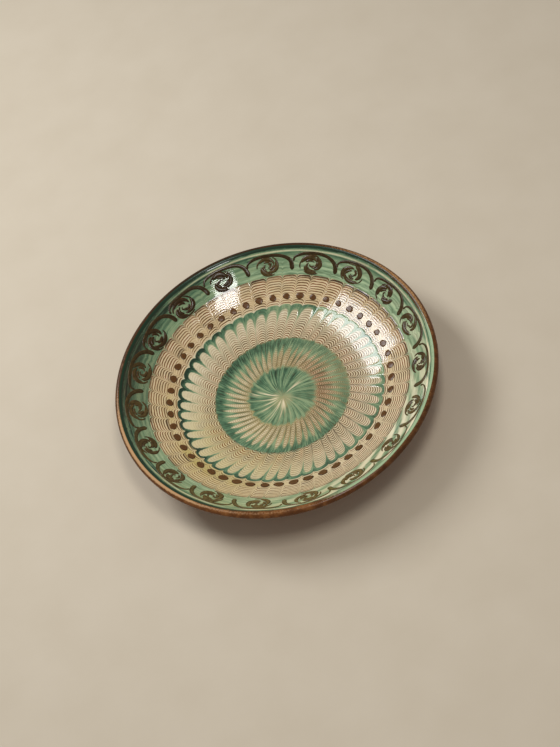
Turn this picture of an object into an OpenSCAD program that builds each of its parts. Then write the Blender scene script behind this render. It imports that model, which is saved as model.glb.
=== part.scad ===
// Shallow wheel-thrown earthenware dish with trailed and feathered slip.
// Origin: centre of the foot's underside. +Z is up, and the hollow faces up.

/* [Dish] */
// Diameter over the lip
outer_d = 350; // [342:1:370]
// Height of the lip above the table
height = 62; // [60:1:68]
// Thickness of the clay under the floor of the hollow
floor_t = 8; // [6:0.5:10]
// Thickness of the round lip, slip included
lip_t = 8; // [7:0.5:10]
// Power of the hollow's curve: 2 is a parabola, 3 a flatter floor and a steeper wall
curve_power = 3; // [2.6:0.1:3.4]

/* [Foot] */
// Outer diameter of the foot ring
foot_d = 158; // [140:1:176]
// Width of the foot ring
foot_w = 9; // [7:0.5:12]
// Height of the foot ring at the middle of the floor
foot_h = 5.5; // [4.5:0.5:7]
// Chamfer along the foot's lower edges
foot_chamfer = 1; // [0.5:0.25:2]

/* [Slip coats] */
// Thickness of a slip coat with its glaze
coat_t = 0.8; // [0.5:0.1:1.2]
// Radius of the green disc in the middle
centre_r = 38.5; // [34:0.5:44]
// Width of the cream ring round the disc
inner_w = 22.5; // [18:0.5:26]
// Width of the dark green ring
green_w = 13; // [10:0.5:16]
// Width of the dotted and combed ring
comb_w = 30; // [28:0.5:33]
// Width of the green band below the lip
rim_w = 24.75; // [22:0.25:27]
// How far the brown slip runs down inside the lip
lip_band_in = 1; // [0.5:0.25:2.5]
// How far the brown slip goes round the lip, as a turn of its half circle
lip_band_turn = 172; // [120:1:178]

/* [Rim decoration] */
// Number of arches, and of swirls
arches = 19; // [15:1:21]
// Bearing of the first hooked tail
arch_start = 10; // [0:1:18]
// Width of a trailed arch at its tail
arch_tail_w = 4.6; // [3.6:0.2:5.4]
// Width of a trailed arch where it starts
arch_thin_w = 2.2; // [1.6:0.1:2.8]
// Height of the trailed slip
trail_h = 0.9; // [0.5:0.1:1.4]
// Bare green between the stripes and the arches
arch_top_gap = 0.6; // [0.4:0.1:1.6]
// Bare green below the hooked tails
arch_tail_gap = 4.5; // [3:0.25:6]
// Bare green below a swirl, and between it and the arch over it
swirl_gap = 1.3; // [1:0.1:2.5]
// Width of a swirl for its height
swirl_stretch = 1.25; // [1:0.05:1.4]
// Number of curved arms in a swirl
swirl_arms = 3; // [2:1:4]
// Width of a swirl's arm at its middle
swirl_w = 3.8; // [2.6:0.1:4]
// Number of dark stripes inside the lip
stripes = 2; // [1:1:2]
// Width of a stripe
stripe_w = 0.6; // [0.4:0.1:0.8]
// Step from one stripe to the next
stripe_pitch = 1.1; // [1:0.1:1.5]

/* [Feathered rings] */
// Number of petals, of dots and of combed panels
spokes = 49; // [43:1:53]
// Bearing that the petals lean over from their tip to their root
petal_lean = 6; // [0:0.5:9]
// Bare cream between the petals' outlines and the dark green ring
petal_root_gap = 8; // [6:0.5:14]
// Width of the green outline at the petal's tip
petal_line_w = 3.4; // [2:0.2:4]
// Height of the green outline
petal_line_h = 0.7; // [0.4:0.1:1]
// Diameter of a dot
dot_d = 7.25; // [5:0.25:8]
// Height of a dot
dot_h = 1.1; // [0.6:0.1:1.5]
// Bare cream between the petals' tips and the dots
dot_gap = 4.75; // [4:0.25:6.5]
// Bare cream between the dots and the combed band
comb_gap = 2; // [1:0.25:3]
// Number of thin rings in the combed band
combs = 5; // [3:1:5]
// Width of a thin ring
comb_line_w = 0.8; // [0.5:0.1:1.2]
// Height of a thin ring
comb_line_h = 0.3; // [0.2:0.05:0.5]
// Width of the dark line that closes the combed band
border_w = 1.6; // [1:0.1:2]
// Height of the dark line that closes the combed band
border_h = 0.5; // [0.3:0.1:0.8]
// Clear gap between neighbouring strokes, and along a ring between its arcs
stroke_gap = 1; // [0.6:0.1:1.6]

/* [Hidden] */

$fn = 96;
outer_r = outer_d / 2;
// Bed of air under raised slip, so that flat undersides clear the curved wall
bed = 0.05;
// Longest straight step along the dish's curves
station_step = 4;
// Room kept between a ring and what is trailed beside it
ring_gap = 0.4;

// The hollow: height of the clay over the table at a radius, and the wall's slope there
floor_z = foot_h + floor_t;
lip_clay_t = lip_t - 2 * coat_t;
depth = height - coat_t - floor_z - nose_rise();
hollow_r = outer_r - coat_t - lip_clay_t / 2 * (1 + sin(lip_slope()));
function lip_slope(n = 6) = n == 0 ? 40
    : atan(curve_power * depth_at(lip_slope(n - 1)) / rim_r_at(lip_slope(n - 1)));
function depth_at(a) = height - coat_t - floor_z - lip_clay_t / 2 * (1 - cos(a));
function rim_r_at(a) = outer_r - coat_t - lip_clay_t / 2 * (1 + sin(a));
function nose_rise() = lip_clay_t / 2 * (1 - cos(lip_slope()));
function hollow_z(r) = floor_z + depth * pow(r / hollow_r, curve_power);
function hollow_slope(r) = atan(curve_power * depth / hollow_r * pow(r / hollow_r, curve_power - 1));

// The underside: a curve of its own that meets the round lip without a corner
nose_r = lip_clay_t / 2;
nose_x = hollow_r + nose_r * sin(lip_slope());
nose_z = hollow_z(hollow_r) - nose_r * cos(lip_slope());
under_r = nose_x + nose_r * sin(lip_slope());
under_rise = nose_z - nose_r * cos(lip_slope()) - foot_h;
under_power = tan(lip_slope()) * under_r / under_rise;
function under_z(r) = foot_h + under_rise * pow(r / under_r, under_power);

// Where one ring of slip ends and the next begins
rim_r = hollow_r - lip_band_in;
comb_r = rim_r - rim_w;
petal_r = comb_r - comb_w;
inner_r = centre_r + inner_w;
green_r = inner_r + green_w;
dot_r = petal_r + dot_gap + dot_d / 2;
foot_out = foot_d / 2;
foot_in = foot_out - foot_w;

// A point on the wall of the hollow, lifted from the clay by h along the wall's normal
function wall_pt(r, h = 0) = [r - h * sin(hollow_slope(r)), hollow_z(r) + h * cos(hollow_slope(r))];

// The same in space at bearing t, lifted by h from the finished coat
function coat_pt(r, t, h = 0) = let (p = wall_pt(r, coat_t + h)) [p.x * cos(t), p.x * sin(t), p.y];

// Radii from a to b in equal steps no longer than station_step
function stations(a, b) = let (n = ceil((b - a) / station_step)) [for (i = [0:n]) a + (b - a) * i / n];

// The hollow's own radii, with a corner where every coat begins and ends
function hollow_stations() = [for (s = [
    stations(0, centre_r), stations(centre_r, inner_r), stations(inner_r, green_r),
    stations(green_r, petal_r), stations(petal_r, comb_r), stations(comb_r, rim_r),
    stations(rim_r, hollow_r)]) each s];

// Direction on the round lip at which the brown slip stops
band_stop = 90 + lip_slope() - lip_band_turn;

// Arc of the round lip at radius r, from direction a to b
function nose_arc(r, a, b, n = 16) = [for (i = [0:n]) let (t = a + (b - a) * i / n)
    [nose_x + r * cos(t), nose_z + r * sin(t)]];

// A coat of slip on the wall from radius a to b
module coat(a, b) {
    s = stations(a, b);
    bottom = [for (r = s) wall_pt(r)];
    top = [for (i = [len(s) - 1:-1:0]) wall_pt(s[i], coat_t)];
    rotate_extrude() polygon(concat(bottom, top));
}

// A low bead of slip run round the coat at radius r, through the bearings from t by sweep
module bead(r, w, h, t = 0, sweep = 360) {
    p = [for (q = [[-1, 0], [-0.6, 0.8], [0, 1], [0.6, 0.8], [1, 0]])
        wall_pt(r + q.x * w / 2 * cos(hollow_slope(r)), coat_t + bed + q.y * h)];
    rotate([0, 0, t]) rotate_extrude(angle = sweep) polygon(p);
}

// A point of a stroke: u along the rim and v up the wall from the place at radius r, bearing t
function stroke_pt(r, t, u, v, h) =
    let (q = r + v * cos(hollow_slope(r))) coat_pt(q, t + u / q * 180 / PI, bed + h);

// A trailed stroke, swept along path = list of [u, v, width, height] about radius r, bearing t
module stroke(r, t, path) {
    section = [[-1, 0], [-0.55, 0.9], [0.55, 0.9], [1, 0]];
    m = len(section);
    n = len(path);
    points = [for (i = [0:n - 1]) let (
            ahead = path[min(i + 1, n - 1)],
            back = path[max(i - 1, 0)],
            d = [ahead.x - back.x, ahead.y - back.y] / norm([ahead.x - back.x, ahead.y - back.y]))
        for (q = section)
            stroke_pt(r, t, path[i].x - d.y * q.x * path[i][2] / 2,
                path[i].y + d.x * q.x * path[i][2] / 2, q.y * path[i][3])];
    sides = [for (i = [0:n - 2]) for (k = [0:m - 1]) let (
            a = i * m + k,
            b = i * m + (k + 1) % m)
        each [[a, b, b + m], [a, b + m, a + m]]];
    start = [for (k = [1:m - 2]) [0, k + 1, k]];
    end = [for (k = [1:m - 2]) [0, k, k + 1] + (n - 1) * m * [1, 1, 1]];
    polyhedron(points, concat(sides, start, end));
}

// Half a turn of soft swelling: 0 at both ends of x = 0..1, 1 in the middle
function swell(x) = sqrt(max(0, 1 - pow(2 * x - 1, 2)));

// An arch springs thin from its neighbour's tail, rises to the lip and drops into a thick tail of its own
arch_pitch = 360 / arches;
arch_spring = 0.42;
arch_r = comb_r + arch_tail_gap;
stripes_r = rim_r - ring_gap - stripe_w - (stripes - 1) * stripe_pitch;
crown_r = stripes_r - arch_top_gap - arch_w(0.5) / 2;
arch_rise = (crown_r - arch_r) / cos(hollow_slope(arch_r));
function arch_w(x) = arch_thin_w + (arch_tail_w - arch_thin_w) * pow(x, 4);
// Half an arch, from its crown at s = 0 to its end at s = 1: how far out, and how high, as shares
function arch_out(s) = pow(sin(90 * s), 0.83);
function arch_up(s) = pow(cos(90 * s), 0.77);
function arc_len(t, v, r) = t / 180 * PI * (r + v * cos(hollow_slope(r)));
function arch_path(n = 16) = [for (i = [0:n]) let (
        x = i / n,
        s = abs(2 * x - 1),
        foot = x < 0.5 ? arch_spring : 0,
        v = arch_rise * (foot + (1 - foot) * arch_up(s)),
        clear = ((arch_tail_w + arch_thin_w) / 2 + stroke_gap) * pow(1 - x, 6))
    [arc_len(arch_pitch / 2 * (1 - sign(2 * x - 1) * arch_out(s)), v, arch_r) - clear,
     v,
     arch_w(x) * (i == n ? 0.45 : 1),
     trail_h * (i == n || i == 0 ? 0.5 : 0.8 + 0.2 * x)]];

// A swirl is a wheel of curved arms that wind outwards, between the combed ring and its arch
swirl_lo = comb_r + swirl_gap;
swirl_hi = crown_r - arch_w(0.5) / 2 - swirl_gap;
swirl_r = (swirl_lo + swirl_hi) / 2;
swirl_h = (swirl_hi - swirl_lo) / cos(hollow_slope(swirl_r));
swirl_sweep = 360 / swirl_arms + 35;
function swirl_path(turn, n = 8) = [for (i = [0:n]) let (
        x = i / n,
        a = turn + swirl_sweep * x,
        q = (swirl_h / 2 - swirl_w * 0.25) * (0.36 + 0.6 * pow(x, 0.8)))
    [swirl_stretch * q * cos(a), q * sin(a), swirl_w * (0.25 + 0.75 * swell(x)), trail_h * 0.9]];

// A petal's outline runs up one side, round the tip and down the other side
petal_pitch = 360 / spokes;
petal_len = petal_r - green_r - petal_root_gap;
petal_lean_rate = petal_lean / 180 * PI / (petal_r - green_r);
function petal_path(n = 12) = [for (i = [0:n]) let (
        x = 2 * i / n - 1,
        v = -petal_len * pow(abs(x), 1.8),
        room = (petal_r + v - petal_line_w / 2) * petal_pitch / 180 * PI / 2 - stroke_gap,
        side = sign(x) * (1 - pow(1 - abs(x), 2.2)))
    [side * (room - petal_line_w * 0.2) - petal_lean_rate * (petal_r + v) * v,
     v - petal_line_w / 2 - ring_gap,
     petal_line_w * (1 - 0.72 * pow(abs(x), 0.6)),
     petal_line_h * (1 - 0.5 * abs(x))]];

// A round cap of slip, low and flat-bottomed, standing at the origin
module drop(d, h) {
    rotate_extrude() polygon(concat([[0, 0]],
        [for (a = [0:15:90]) [d / 2 * cos(a), h * sin(a)]]));
}

module clay_body() {
    hollow = [for (r = hollow_stations()) wall_pt(r)];
    under = [for (s = [stations(foot_out, under_r), stations(foot_in, foot_out), stations(0, foot_in)])
        for (i = [len(s) - 1:-1:0]) [s[i], under_z(s[i])]];
    nose = concat(nose_arc(nose_r, 90 + lip_slope(), band_stop),
        nose_arc(nose_r, band_stop, lip_slope() - 90, 4));
    color("#b5673f") rotate_extrude() polygon(concat(hollow, nose, under));
}

module foot_ring() {
    top = [for (r = stations(foot_in, foot_out)) [r, under_z(r)]];
    c = foot_chamfer;
    color("#a85c38") rotate_extrude() polygon(concat(top, [
        [foot_out, c], [foot_out - c, 0], [foot_in + c, 0], [foot_in, c]]));
}

module lip_band() {
    inside = stations(rim_r, hollow_r);
    clay = concat([for (r = inside) wall_pt(r)], nose_arc(nose_r, 90 + lip_slope(), band_stop));
    skin = concat([for (r = inside) wall_pt(r, coat_t)],
        nose_arc(nose_r + coat_t, 90 + lip_slope(), band_stop));
    color("#4a2412") rotate_extrude()
        polygon(concat(clay, [for (i = [len(skin) - 1:-1:0]) skin[i]]));
}

module rim_ground() { color("#82b295") coat(comb_r, rim_r); }

module comb_ground() { color("#d8bf94") coat(petal_r, comb_r); }

module petal_ground() { color("#d5bd92") coat(green_r, petal_r); }

module green_ring() { color("#2f7a5c") coat(inner_r, green_r); }

module inner_ground() { color("#cdb489") coat(centre_r, inner_r); }

module centre_disc() { color("#3f8a68") coat(0, centre_r); }

module rim_stripes() {
    color("#23553c") for (i = [0:stripes - 1])
        bead(rim_r - ring_gap - stripe_w / 2 - i * stripe_pitch, stripe_w, comb_line_h);
}

module trailed_arches() {
    path = arch_path();
    color("#2f2013") for (i = [0:arches - 1])
        stroke(arch_r, arch_start + i * arch_pitch, path);
}

module rosettes() {
    color("#3a2412") for (k = [0:swirl_arms - 1]) {
        path = swirl_path(360 / swirl_arms * k);
        for (i = [0:arches - 1]) stroke(swirl_r, arch_start + (i + 0.5) * arch_pitch, path);
    }
}

module comb_border() {
    r = comb_r - border_w / 2 - ring_gap;
    gap = stroke_gap / r * 180 / PI;
    color("#5a3519") for (i = [0:spokes - 1])
        bead(r, border_w, border_h, i * petal_pitch, petal_pitch - gap);
}

module comb_lines() {
    high = comb_r - border_w - ring_gap;
    low = dot_r + dot_d / 2 + comb_gap;
    color("#8a5a33") for (i = [1:combs])
        bead(high - (high - low) * (i - 0.5) / combs, comb_line_w, comb_line_h);
}

module dots() {
    // The flat underside rests across a hollow, so it is lifted by the hollow's depth under it
    sag = dot_d * dot_d / 8 * (hollow_slope(dot_r + 1) - hollow_slope(dot_r)) / 180 * PI;
    p = wall_pt(dot_r, coat_t + bed + sag);
    color("#4a2a12") for (i = [0:spokes - 1])
        rotate([0, 0, (i + 0.5) * petal_pitch]) translate([p.x, 0, p.y])
            rotate([0, -hollow_slope(dot_r), 0]) drop(dot_d, dot_h);
}

module petal_trails() {
    path = petal_path();
    color("#2f8062") for (i = [0:spokes - 1]) stroke(petal_r, (i + 0.5) * petal_pitch, path);
}

clay_body();
foot_ring();
lip_band();
rim_ground();
rim_stripes();
trailed_arches();
rosettes();
comb_border();
comb_ground();
comb_lines();
dots();
petal_trails();
petal_ground();
green_ring();
inner_ground();
centre_disc();
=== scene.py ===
"""Dresses the frame of a feathered slipware dish: clay, slip coats, trailed strokes and clear glaze."""

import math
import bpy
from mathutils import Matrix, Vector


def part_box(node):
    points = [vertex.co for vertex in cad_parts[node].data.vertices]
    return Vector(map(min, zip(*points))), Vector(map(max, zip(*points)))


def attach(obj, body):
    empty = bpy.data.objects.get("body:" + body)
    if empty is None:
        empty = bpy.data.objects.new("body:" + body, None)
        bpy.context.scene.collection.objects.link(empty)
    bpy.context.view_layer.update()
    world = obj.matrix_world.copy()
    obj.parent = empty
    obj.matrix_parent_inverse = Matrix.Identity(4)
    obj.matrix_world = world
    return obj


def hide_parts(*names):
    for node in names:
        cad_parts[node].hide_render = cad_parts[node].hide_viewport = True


bl_info = {
    "name": "Feathered Slipware Dish",
    "version": (1, 0, 0),
    "blender": (4, 5, 0),
    "location": "View3D > Sidebar > Dish",
    "description": "Makes a thrown dish with trailed and feathered slip under a clear glaze",
    "category": "Add Mesh",
}

import bpy
import numpy as np
from mathutils import Matrix, Vector

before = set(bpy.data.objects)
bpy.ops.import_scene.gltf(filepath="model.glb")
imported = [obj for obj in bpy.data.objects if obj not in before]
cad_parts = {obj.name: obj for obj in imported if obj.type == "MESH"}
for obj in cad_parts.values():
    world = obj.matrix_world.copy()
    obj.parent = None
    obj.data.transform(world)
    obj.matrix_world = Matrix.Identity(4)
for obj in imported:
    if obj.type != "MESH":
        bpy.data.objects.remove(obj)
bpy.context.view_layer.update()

BODY = "root"
MM = 0.001
TURN = 2 * math.pi
# Share of the bake map's height that a piece's face side fills; its hidden side takes the rest
FACE_SHARE = 0.94
HIDDEN_ROWS = 6
# An edge's neighbouring row lies this close to it, in mm, which keeps the shading true up to the edge
EDGE = 0.05
# Roughness of bare fired clay
MATT = 0.82
# Gap in mm between a coat's hidden side and the clay
GAP = 0.02
# Step in mm between the rows of a feathered coat, and half the width of the tool's groove in it
STEP = 0.5
GROOVE_W = 0.6


# ------------------------------------------------------------- the dish's curves, from the frame


def rings_of(*names):
    """Radius and height, in mm, of the distinct rings of vertices of some nodes."""
    rings = set()
    for name in names:
        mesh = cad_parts[name].data
        at = np.empty(len(mesh.vertices) * 3, np.float32)
        mesh.vertices.foreach_get("co", at)
        at = at.reshape(-1, 3).astype(float) / MM
        radius = np.hypot(at[:, 0], at[:, 1])
        rings.update(zip(np.round(radius, 2).tolist(), np.round(at[:, 2], 2).tolist()))
    return np.array(sorted(rings))


def edge_of(name):
    """A coat's outer radius on the clay, in mm."""
    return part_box(name)[1].x / MM


def reach_of(name):
    """Least and greatest radius, in mm at the clay, of strokes that lie on a coat.

    The wall's slope moves their feet and tops inwards, so a little is added to the radii of their vertices.
    """
    radius = rings_of(name)[:, 0]
    return radius.min() + 0.2, radius.max() + 0.5


CENTRE_R = edge_of("centre_disc")
INNER_R = edge_of("inner_ground")
GREEN_R = edge_of("green_ring")
PETAL_R = edge_of("petal_ground")
COMB_R = edge_of("comb_ground")
RIM_R = edge_of("rim_ground")
OUTER_R = edge_of("lip_band")
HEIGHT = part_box("lip_band")[1].z / MM
COAT_T = OUTER_R - edge_of("clay_body")
DOT_R = sum(reach_of("dots")) / 2

CLAY = rings_of("clay_body")
COATS = rings_of(
    "centre_disc", "inner_ground", "green_ring", "petal_ground", "comb_ground", "rim_ground", "lip_band"
)
on_clay = np.array([np.hypot(*(CLAY - ring).T).min() < 0.02 for ring in COATS])
hollow_rings = COATS[on_clay & (COATS[:, 0] <= RIM_R + 0.01)]
# Height of the clay in the hollow and under the dish, as polynomials of the radius
HOLLOW = np.polyfit(hollow_rings[:, 0], hollow_rings[:, 1], 4)
HOLLOW_SLOPE = np.polyder(HOLLOW)
below = CLAY[CLAY[:, 1] < np.polyval(HOLLOW, CLAY[:, 0]) - 4]
below = below[below[:, 0] < RIM_R]
UNDER = np.polyfit(below[:, 0], below[:, 1], 5)
# The round lip: its circle in the clay, and the direction in which the hollow meets it
clear_of_lip = CLAY[np.abs(CLAY[:, 1] - np.polyval(HOLLOW, CLAY[:, 0])) < 0.05]
HOLLOW_R = clear_of_lip[clear_of_lip[:, 0] > RIM_R, 0].max()
LIP_SLOPE = math.atan(np.polyval(HOLLOW_SLOPE, HOLLOW_R))
NOSE_R = (OUTER_R - COAT_T - HOLLOW_R) / (1 + math.sin(LIP_SLOPE))
NOSE = (OUTER_R - COAT_T - NOSE_R, HEIGHT - COAT_T - NOSE_R)
FOOT_OUT = edge_of("foot_ring")
FOOT_IN = rings_of("foot_ring")[:, 0].min()


def lay(radius, lift):
    """Radius and height of a point lifted off the hollow's clay, along the wall's normal."""
    slope = np.arctan(np.polyval(HOLLOW_SLOPE, radius))
    return radius - lift * np.sin(slope), np.polyval(HOLLOW, radius) + lift * np.cos(slope)


def slope_cos(radius):
    """Cosine of the wall's slope, which turns a length up the wall into a change of radius."""
    return np.cos(np.arctan(np.polyval(HOLLOW_SLOPE, radius)))


def bump(x, width):
    """A smooth bump 1 high at x = 0 and 0 beyond width: the square of one minus (x / width) squared."""
    return np.clip(1 - (x / width) ** 2, 0, 1) ** 2


def ease(x, low, high):
    """Goes from 0 at low to 1 at high along a smooth S: 3 t^2 - 2 t^3."""
    t = np.clip((x - low) / (high - low), 0, 1)
    return t * t * (3 - 2 * t)


def gate(x, first, full, leave, last):
    """Goes from 0 at first up to 1 at full, stays there until leave and goes back to 0 at last."""
    return ease(x, first, full) * (1 - ease(x, leave, last))


def wander(angle, seed, waves=5, first=1):
    """A wavering number of about -1 to 1 round the dish: a sum of cosines with random phases."""
    rng = np.random.default_rng(seed)
    total = np.zeros_like(angle)
    for n in range(first, first + waves):
        total = total + np.cos(n * angle + rng.uniform(0, TURN)) * rng.uniform(0.5, 1)
    return total / math.sqrt(waves)


def near(angle, bearing, spread):
    """How close an angle is to a bearing, both in degrees: a bell curve that wraps round the dish.

    It serves as a plain bell curve for lengths in mm too, since none of them is as far off as 180.
    """
    off = (angle - bearing + 180) % 360 - 180
    return np.exp(-((off / spread) ** 2))


def patches(deg, *spots):
    """A sum of bell curves round the dish; each spot is its height, bearing and spread in degrees."""
    return sum(height * near(deg, bearing, spread) for height, bearing, spread in spots)


# ------------------------------------------------------------- meshes


def round_dish(rows, cols):
    """Angles evenly round the dish, the same in every row."""
    return np.linspace(0, TURN, cols, endpoint=False)[None] + np.zeros((rows, 1))


def sheet_uv(rows, cols, v=None):
    """A bake map that lays a turned surface out flat: its angle across and its section upwards."""
    u = np.linspace(0, 1, cols + 1)
    v = np.linspace(0.004, 0.996, rows) if v is None else v
    return np.stack(np.broadcast_arrays(u[None], v[:, None]), -1)[None]


def two_sides(face_rows, hidden_rows, start=0.0):
    """Heights on a bake map of a piece's face rows, its hidden rows and the row that closes them."""
    face = np.linspace(start, FACE_SHARE, face_rows)
    return np.concatenate([face, np.linspace(FACE_SHARE + 0.01, 0.995, hidden_rows), [1.0]])


def cell_uv(count, rows, cols, across):
    """A bake map with a cell for each of many like shapes, in rows of so many across."""
    cell = np.arange(count)[:, None, None]
    down = -(-count // across)
    u = (cell % across + np.linspace(0.05, 0.95, rows)[None, :, None]) / across
    v = (cell // across + np.linspace(0.06, 0.94, cols + 1)[None, None]) / down
    return np.stack(np.broadcast_arrays(u, v), -1)


def shell(name, points, maps, marks, material, nodes, poles=False):
    """A smooth closed piece of one or more grids of points, in mm, whose columns close on themselves.

    points is grids x rows x columns x 3. The rows close on themselves too, or end in a pole at either end.
    maps are UV maps with one more column than the grid, and one more row if the rows close. marks are
    numbers kept at each point.
    """
    count, rows, cols = points.shape[:3]
    steps = rows - 1 if poles else rows
    g, i, j = np.meshgrid(np.arange(count), np.arange(steps), np.arange(cols), indexing="ij")
    four = [(g, i, j), (g, i + 1, j), (g, i + 1, j + 1), (g, i, j + 1)]
    number = [(a * rows + b % rows) * cols + c % cols for a, b, c in four]
    corners = [np.stack(number, -1).reshape(-1)]
    flat = {k: [np.stack([m[t] for t in four], 3).reshape(-1, 2)] for k, m in maps.items()}
    verts = points.reshape(-1, 3)
    kept = {k: m.reshape(-1) for k, m in marks.items()}
    quads, tris = len(corners[0]) // 4, 0
    if poles:
        g, j = np.meshgrid(np.arange(count), np.arange(cols), indexing="ij")
        for row, turn in ((0, 1), (rows - 1, -1)):
            tip = len(verts) + np.arange(count)[:, None] + 0 * j
            pair = [(g * rows + row) * cols + j, (g * rows + row) * cols + (j + 1) % cols][::turn]
            corners.append(np.stack([tip, *pair], -1).reshape(-1))
            tris += count * cols
            verts = np.concatenate([verts, points[:, row].mean(1)])
            kept = {k: np.concatenate([m, marks[k][:, row].mean(1)]) for k, m in kept.items()}
            for k, m in maps.items():
                ends = [m[g, row + 0 * g, j], m[g, row + 0 * g, j + 1]]
                flat[k].append(np.stack([sum(ends) / 2, *ends[::turn]], 2).reshape(-1, 2))
    corners = np.concatenate(corners)
    start = np.concatenate([np.arange(quads) * 4, quads * 4 + np.arange(tris) * 3])
    mesh = bpy.data.meshes.new(name)
    mesh.vertices.add(len(verts))
    mesh.vertices.foreach_set("co", (verts * MM).astype(np.float32).reshape(-1))
    mesh.loops.add(len(corners))
    mesh.loops.foreach_set("vertex_index", corners.astype(np.int32))
    mesh.polygons.add(len(start))
    mesh.polygons.foreach_set("loop_start", start.astype(np.int32))
    mesh.polygons.foreach_set("use_smooth", np.ones(len(start), bool))
    mesh.update(calc_edges=True)
    for label, values in flat.items():
        uv = np.concatenate(values).astype(np.float32)
        mesh.uv_layers.new(name=label).data.foreach_set("uv", uv.reshape(-1))
    for label, values in kept.items():
        mesh.attributes.new(label, "FLOAT", "POINT").data.foreach_set("value", values.astype(np.float32))
    mesh.materials.append(material)
    piece = bpy.data.objects.new(name, mesh)
    bpy.context.scene.collection.objects.link(piece)
    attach(piece, BODY)
    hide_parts(*nodes)


def around(radius, height, angle):
    """Points in space from radius, height and angle, on a dish whose lip strays a little from its circle.

    The strays grow with the square of the way from the foot to the lip and are a sum of the first few
    waves round the dish.
    """
    way = np.clip((radius - FOOT_OUT) / (OUTER_R - FOOT_OUT), 0, 1)
    stray = sizes()["warp"] * way**2
    inwards = stray * (0.5 + 0.4 * wander(angle, 2, 3, 2)).clip(0, 1)
    down = stray * (0.5 + 0.4 * wander(angle, 6, 3, 2)).clip(0, 1)
    radius = radius - inwards
    return np.stack([radius * np.cos(angle), radius * np.sin(angle), height - down], -1)


def coat_piece(name, radius, lift, feathered, material, nodes, slot, poles=False, grooved=1.0, **marks):
    """A feathered coat of slip with relief on its face, closed along the clay or by a pole at either end.

    radius is one number a row; lift is the relief above the plain coat, to which grooved, a share, adds the
    tool's grooves; feathered is the radius from which the tool dragged the slip. marks are what the glaze and
    slip materials read, 0 where it isn't given.
    """
    lift = lift + grooved * SPOKE_SET.groove(radius)
    angle = SPOKE_SET.angles(radius)
    rows, cols = angle.shape
    back = np.linspace(radius[-1], radius[0], HIDDEN_ROWS)
    picks = np.abs(radius[:, None] - back[None]).argmin(0)
    r_face, z_face = lay(radius[:, None] + 0 * angle, COAT_T + lift)
    r_back, z_back = lay(back[:, None] + 0 * angle[picks], GAP)
    points = np.concatenate([around(r_face, z_face, angle), around(r_back, z_back, angle[picks])])[None]
    last = -1 if poles else None
    feather = SPOKE_SET.map(feathered)
    maps = {
        "OFBake": sheet_uv(rows + HIDDEN_ROWS + 1, cols, two_sides(rows, HIDDEN_ROWS, 0.002))[:, :last],
        "feather": np.concatenate([feather, feather[picks], feather[:1]])[None, :last],
    }
    kept = {}
    for label in ("green", "deep", "amber", "rust", "comb", "pale", "ink"):
        values = marks.get(label, 0) + np.zeros_like(angle)
        kept[label] = np.concatenate([values, values[picks]])[None]
    shell(name, points, maps, kept, material, nodes, poles)


def edged(low, high):
    """Radii from low to high about a step apart, with a second row hard by each edge."""
    inner = np.linspace(low, high, int(round((high - low) / STEP)) + 1)[1:-1]
    return np.concatenate([[low, low + EDGE], inner, [high - EDGE, high]])


# ------------------------------------------------------------- the feathering tool's spokes

SPOKES = 49
PITCH = TURN / SPOKES
# Columns of one panel, packed close to the spokes at its two sides
PANEL = np.array([0, 0.03, 0.07, 0.12, 0.18, 0.26, 0.34, 0.42, 0.5, 0.58, 0.66, 0.74, 0.82, 0.88, 0.93, 0.97])
# How far the spokes turn, in degrees, at some radii on their way in from the rim to the middle, and the
# smooth line through these values
TURN_R = np.array([0, 14, 38.5, 60, 74, 95, 113, 124, 143.5, 170])
TURN_DEG = np.array([34, 28, 17, 11.5, 7, 3.2, 0, 0, -2.2, -3.5])
TURN_FIT = np.polyfit(TURN_R, TURN_DEG, 6)


class Spokes:
    """The lines along which the tool was drawn inwards, and the panels of slip between them."""

    def __init__(self):
        """Each spoke strays by up to 0.13 of the pitch and was drawn with a pull of its own."""
        rng = np.random.default_rng(11)
        start = (np.arange(SPOKES) + rng.uniform(-0.13, 0.13, SPOKES)) * PITCH
        width = np.diff(np.append(start, start[0] + TURN))
        self.base = (start[:, None] + width[:, None] * PANEL).reshape(-1)
        self.width = np.repeat(width, len(PANEL))
        self.part = np.tile(PANEL, SPOKES)
        self.number = np.repeat(np.arange(SPOKES), len(PANEL))
        self.pull = rng.uniform(0.75, 1.25, SPOKES)

    def angles(self, radius):
        """Angle of every column at each radius."""
        return self.base[None] + np.radians(np.polyval(TURN_FIT, radius))[:, None]

    def off(self, radius):
        """Distance in mm of every column from the spokes at its left and right."""
        arc = self.width[None] * radius[:, None]
        return self.part[None] * arc, (1 - self.part[None]) * arc

    def pulls(self):
        """How hard the tool was drawn along the spoke at each column's left and right."""
        return self.pull[self.number], self.pull[(self.number + 1) % SPOKES]

    def each(self, seed, low, high):
        """A random number for every panel, at each column."""
        return np.random.default_rng(seed).uniform(low, high, SPOKES)[self.number][None]

    def drag(self, radius, length, width):
        """How far slip was dragged inwards, in mm: a sharp exponential beside each spoke."""
        left, right = self.off(radius)
        pull_left, pull_right = self.pulls()
        return length * (pull_left * np.exp(-left / width) + pull_right * np.exp(-right / width))

    def groove(self, radius):
        """The tool's own groove along each spoke, a bell curve, with a low bank on either side."""
        side = np.minimum(*self.off(radius))
        return sizes()["groove"] * (0.3 * near(side, 2 * GROOVE_W, GROOVE_W) - near(side, 0, GROOVE_W))

    def map(self, values):
        """A UV map of panel number and feathered radius (in mm), with a last column that closes it."""
        along = np.append(self.number + self.part, SPOKES)[None] + 0 * values[:, :1]
        across = np.concatenate([values, values[:, :1]], 1)
        return np.stack([along, across], -1)


SPOKE_SET = Spokes()


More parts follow.
